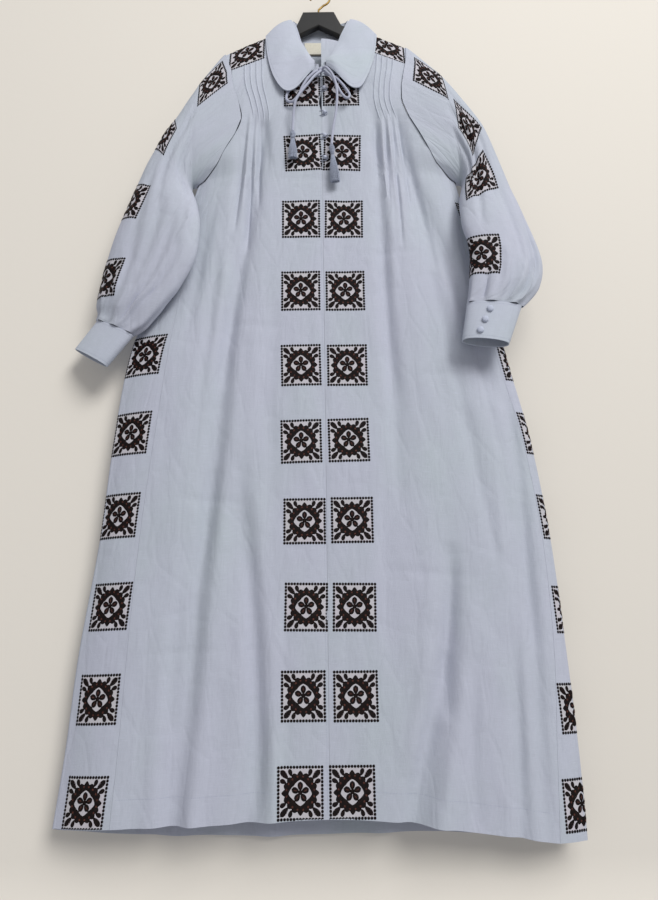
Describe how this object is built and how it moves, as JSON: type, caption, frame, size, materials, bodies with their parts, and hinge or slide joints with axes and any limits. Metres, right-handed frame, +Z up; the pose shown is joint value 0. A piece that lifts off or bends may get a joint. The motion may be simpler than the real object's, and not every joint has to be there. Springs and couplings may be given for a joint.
{
  "type": "shirt dress on a hanger",
  "caption": "Long linen shirt dress with puffed sleeves, collar, tasselled neck tie and embroidered motifs, hanging flat on a hooked hanger.",
  "frame": {"origin": "seat of the hanger's hook, where it rests on a peg or rail", "axes": "+Z up, +X to the right seen from the front, the front of the dress faces -Y"},
  "size_m": [0.8386, 0.114, 1.5833],
  "materials": {
    "linen": "matt woven",
    "covered_button": "matt cloth-covered",
    "thread": "matt",
    "tie_cord": "matt",
    "tassel": "matt",
    "label": "satin woven",
    "hanger": "satin",
    "hook": "satin"
  },
  "bodies": {
    "root": {"back": "linen", "collar": "linen", "collar_stand": "linen", "cuff_button_left_1": "covered_button", "cuff_button_left_2": "covered_button", "cuff_button_left_3": "covered_button", "cuff_button_right_1": "covered_button", "cuff_button_right_2": "covered_button", "cuff_button_right_3": "covered_button", "cuff_left": "linen", "cuff_right": "linen", "front_button_1": "covered_button", "front_button_2": "covered_button", "front_button_3": "covered_button", "front_button_4": "covered_button", "front_left": "linen", "front_loop_1": "thread", "front_loop_2": "thread", "front_loop_3": "thread", "front_loop_4": "thread", "front_right": "linen", "hanger_body": "hanger", "hanger_hook": "hook", "neck_label": "label", "side_left": "linen", "side_right": "linen", "sleeve_left": "linen", "sleeve_right": "linen", "tassel_left": "tassel", "tassel_right": "tassel", "tie_end_left": "tie_cord", "tie_end_right": "tie_cord", "tie_knot": "tie_cord", "tie_loop_left": "tie_cord", "tie_loop_right": "tie_cord", "yoke": "linen"}
  },
  "joints": []
}
